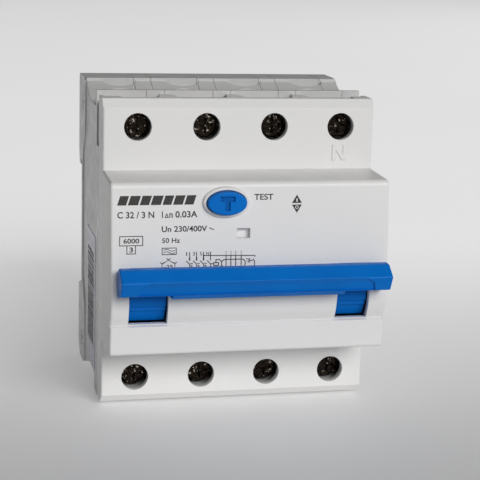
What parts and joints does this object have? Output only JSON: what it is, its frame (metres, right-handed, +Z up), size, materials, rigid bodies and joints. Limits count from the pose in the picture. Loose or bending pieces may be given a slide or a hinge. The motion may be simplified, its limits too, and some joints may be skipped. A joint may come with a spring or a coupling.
{
  "type": "residual current circuit breaker",
  "caption": "Four-pole DIN-rail residual current breaker with a tied toggle, an oval test button, clamp terminals, rail clips and its switching parts inside.",
  "frame": {"origin": "middle of the seat face that rests on the 35 mm rail", "axes": "+X to the right across the poles, +Y from the front towards the rail, +Z up towards the line terminals"},
  "size_m": [0.072, 0.0772, 0.0824],
  "materials": {
    "cover_plastic": "fine satin moulded, off-white",
    "case_plastic": "fine satin moulded, light grey-white",
    "clip_plastic": "satin moulded",
    "blue_plastic": "semi-gloss moulded, saturated blue",
    "label_film": "thin printed film",
    "flag_plastic": "satin",
    "dark_screw_steel": "burnished dark steel",
    "zinc_plated_steel": "zinc plated",
    "bright_steel": "drawn steel",
    "spring_steel": "drawn wire",
    "copper": "stamped copper",
    "braid_copper": "stranded copper",
    "enamelled_copper": "enamelled copper wire",
    "soft_iron": "plated soft iron",
    "bimetal": "rolled strip",
    "bronze": "rolled bronze strip",
    "insulating_board": "vulcanised fibre",
    "mechanism_plastic": "glass-filled moulding",
    "core_casing": "moulded casing",
    "wire_insulation": "soft insulation",
    "relay_plastic": "moulded",
    "board_laminate": "coated laminate",
    "resistor_body": "ceramic coated"
  },
  "bodies": {
    "housing": {"arc_chute_cheeks": "insulating_board", "arc_chute_plates": "soft_iron", "bimetal_strips": "bimetal", "circuit_board": "board_laminate", "coil_windings": "enamelled_copper", "coil_yokes": "soft_iron", "flexible_braids": "braid_copper", "front_cover": "cover_plastic", "handle_spring": "spring_steel", "housing_rivets": "bright_steel", "line_terminal_bars": "copper", "load_terminal_bars": "copper", "pole_base_1": "case_plastic", "pole_base_2": "case_plastic", "pole_base_3": "case_plastic", "pole_base_4": "case_plastic", "pole_cover_1": "case_plastic", "pole_cover_2": "case_plastic", "pole_cover_3": "case_plastic", "pole_cover_4": "case_plastic", "primary_conductors": "wire_insulation", "relay_housing": "relay_plastic", "side_label": "label_film", "test_button_spring": "spring_steel", "test_contact_blade": "bronze", "test_resistor": "resistor_body", "toroid_core": "core_casing", "toroid_winding": "enamelled_copper"},
    "toggle": {"left_toggle": "blue_plastic", "right_toggle": "blue_plastic", "handle_tie_bar": "blue_plastic", "toggle_shaft": "bright_steel"},
    "toggle_link": {"toggle_links": "bright_steel"},
    "contact_arms": {"contact_carrier": "mechanism_plastic", "moving_contacts": "copper"},
    "trip_bar": {"trip_bar": "mechanism_plastic"},
    "trip_flag": {"trip_flag": "flag_plastic"},
    "test_button": {"test_button": "blue_plastic"},
    "relay_pin": {"relay_pin": "bright_steel"},
    "din_clip_left": {"din_clip_left": "clip_plastic"},
    "din_clip_right": {"din_clip_right": "clip_plastic"},
    "coil_plunger_1": {"coil_plunger_1": "bright_steel"},
    "coil_plunger_2": {"coil_plunger_2": "bright_steel"},
    "coil_plunger_3": {"coil_plunger_3": "bright_steel"},
    "line_screw_1": {"line_screw_1": "dark_screw_steel"},
    "line_cage_1": {"line_cage_1": "zinc_plated_steel"},
    "line_screw_2": {"line_screw_2": "dark_screw_steel"},
    "line_cage_2": {"line_cage_2": "zinc_plated_steel"},
    "line_screw_3": {"line_screw_3": "dark_screw_steel"},
    "line_cage_3": {"line_cage_3": "zinc_plated_steel"},
    "line_screw_4": {"line_screw_4": "dark_screw_steel"},
    "line_cage_4": {"line_cage_4": "zinc_plated_steel"},
    "load_screw_1": {"load_screw_1": "dark_screw_steel"},
    "load_cage_1": {"load_cage_1": "zinc_plated_steel"},
    "load_screw_2": {"load_screw_2": "dark_screw_steel"},
    "load_cage_2": {"load_cage_2": "zinc_plated_steel"},
    "load_screw_3": {"load_screw_3": "dark_screw_steel"},
    "load_cage_3": {"load_cage_3": "zinc_plated_steel"},
    "load_screw_4": {"load_screw_4": "dark_screw_steel"},
    "load_cage_4": {"load_cage_4": "zinc_plated_steel"}
  },
  "joints": [
    {"name": "toggle_swing", "type": "hinge", "parent": "housing", "child": "toggle", "pos_m": [0, -0.047, -0.0063], "axis": [1, 0, 0], "range_deg": [0, 28]},
    {"name": "contact_swing", "type": "hinge", "parent": "housing", "child": "contact_arms", "pos_m": [0, -0.024, 0.002], "axis": [1, 0, 0], "range_deg": [0, 25.1], "deforming": ["flexible_braids"]},
    {"name": "link_swing", "type": "hinge", "parent": "toggle", "child": "toggle_link", "pos_m": [0, -0.0385, -0.0023], "axis": [1, 0, 0], "range_deg": [-40.1, 0]},
    {"name": "trip_bar_swing", "type": "hinge", "parent": "housing", "child": "trip_bar", "pos_m": [0, -0.031, -0.018], "axis": [1, 0, 0], "range_deg": [0, 12], "stiffness_Nm_per_rad": 0.01},
    {"name": "flag_slide", "type": "slide", "parent": "housing", "child": "trip_flag", "axis": [-1, 0, 0], "range_m": [0, 0.00421]},
    {"name": "test_button_push", "type": "slide", "parent": "housing", "child": "test_button", "axis": [0, 1, 0], "range_m": [0, 0.0015], "stiffness_N_per_m": 400, "deforming": ["test_button_spring"]},
    {"name": "relay_pin_slide", "type": "slide", "parent": "housing", "child": "relay_pin", "axis": [0, 1, 0], "range_m": [0, 0.0015], "stiffness_N_per_m": 200},
    {"name": "coil_plunger_1_slide", "type": "slide", "parent": "housing", "child": "coil_plunger_1", "axis": [0, -1, 0], "range_m": [0, 0.003], "stiffness_N_per_m": 150},
    {"name": "coil_plunger_2_slide", "type": "slide", "parent": "housing", "child": "coil_plunger_2", "axis": [0, -1, 0], "range_m": [0, 0.003], "stiffness_N_per_m": 150},
    {"name": "coil_plunger_3_slide", "type": "slide", "parent": "housing", "child": "coil_plunger_3", "axis": [0, -1, 0], "range_m": [0, 0.003], "stiffness_N_per_m": 150},
    {"name": "din_clip_left_slide", "type": "slide", "parent": "housing", "child": "din_clip_left", "axis": [0, 0, -1], "range_m": [0, 0.0035], "stiffness_N_per_m": 800},
    {"name": "din_clip_right_slide", "type": "slide", "parent": "housing", "child": "din_clip_right", "axis": [0, 0, -1], "range_m": [0, 0.0035], "stiffness_N_per_m": 800},
    {"name": "line_screw_1_turn", "type": "hinge", "parent": "housing", "child": "line_screw_1", "pos_m": [-0.0267, -0.039, 0.0335], "axis": [0, 1, 0], "range_deg": [0, 2340]},
    {"name": "line_cage_1_lift", "type": "slide", "parent": "housing", "child": "line_cage_1", "axis": [0, -1, 0], "range_m": [0, 0.00519]},
    {"name": "line_screw_2_turn", "type": "hinge", "parent": "housing", "child": "line_screw_2", "pos_m": [-0.0089, -0.039, 0.0335], "axis": [0, 1, 0], "range_deg": [0, 2340]},
    {"name": "line_cage_2_lift", "type": "slide", "parent": "housing", "child": "line_cage_2", "axis": [0, -1, 0], "range_m": [0, 0.00519]},
    {"name": "line_screw_3_turn", "type": "hinge", "parent": "housing", "child": "line_screw_3", "pos_m": [0.0089, -0.039, 0.0335], "axis": [0, 1, 0], "range_deg": [0, 2340]},
    {"name": "line_cage_3_lift", "type": "slide", "parent": "housing", "child": "line_cage_3", "axis": [0, -1, 0], "range_m": [0, 0.00519]},
    {"name": "line_screw_4_turn", "type": "hinge", "parent": "housing", "child": "line_screw_4", "pos_m": [0.0267, -0.039, 0.0335], "axis": [0, 1, 0], "range_deg": [0, 2340]},
    {"name": "line_cage_4_lift", "type": "slide", "parent": "housing", "child": "line_cage_4", "axis": [0, -1, 0], "range_m": [0, 0.00519]},
    {"name": "load_screw_1_turn", "type": "hinge", "parent": "housing", "child": "load_screw_1", "pos_m": [-0.0267, -0.039, -0.0328], "axis": [0, 1, 0], "range_deg": [0, 2340]},
    {"name": "load_cage_1_lift", "type": "slide", "parent": "housing", "child": "load_cage_1", "axis": [0, -1, 0], "range_m": [0, 0.00519]},
    {"name": "load_screw_2_turn", "type": "hinge", "parent": "housing", "child": "load_screw_2", "pos_m": [-0.0089, -0.039, -0.0328], "axis": [0, 1, 0], "range_deg": [0, 2340]},
    {"name": "load_cage_2_lift", "type": "slide", "parent": "housing", "child": "load_cage_2", "axis": [0, -1, 0], "range_m": [0, 0.00519]},
    {"name": "load_screw_3_turn", "type": "hinge", "parent": "housing", "child": "load_screw_3", "pos_m": [0.0089, -0.039, -0.0328], "axis": [0, 1, 0], "range_deg": [0, 2340]},
    {"name": "load_cage_3_lift", "type": "slide", "parent": "housing", "child": "load_cage_3", "axis": [0, -1, 0], "range_m": [0, 0.00519]},
    {"name": "load_screw_4_turn", "type": "hinge", "parent": "housing", "child": "load_screw_4", "pos_m": [0.0267, -0.039, -0.0328], "axis": [0, 1, 0], "range_deg": [0, 2340]},
    {"name": "load_cage_4_lift", "type": "slide", "parent": "housing", "child": "load_cage_4", "axis": [0, -1, 0], "range_m": [0, 0.00519]}
  ],
  "couplings": [
    {"joint": "contact_swing", "follows": "toggle_swing", "ratio": 0.89286},
    {"joint": "link_swing", "follows": "toggle_swing", "ratio": -1.4286},
    {"joint": "flag_slide", "follows": "toggle_swing", "m_per_rad": 0.0085944},
    {"joint": "line_screw_1_turn", "follows": "line_cage_1_lift", "rad_per_m": 7854},
    {"joint": "line_screw_2_turn", "follows": "line_cage_2_lift", "rad_per_m": 7854},
    {"joint": "line_screw_3_turn", "follows": "line_cage_3_lift", "rad_per_m": 7854},
    {"joint": "line_screw_4_turn", "follows": "line_cage_4_lift", "rad_per_m": 7854},
    {"joint": "load_screw_1_turn", "follows": "load_cage_1_lift", "rad_per_m": 7854},
    {"joint": "load_screw_2_turn", "follows": "load_cage_2_lift", "rad_per_m": 7854},
    {"joint": "load_screw_3_turn", "follows": "load_cage_3_lift", "rad_per_m": 7854},
    {"joint": "load_screw_4_turn", "follows": "load_cage_4_lift", "rad_per_m": 7854}
  ]
}
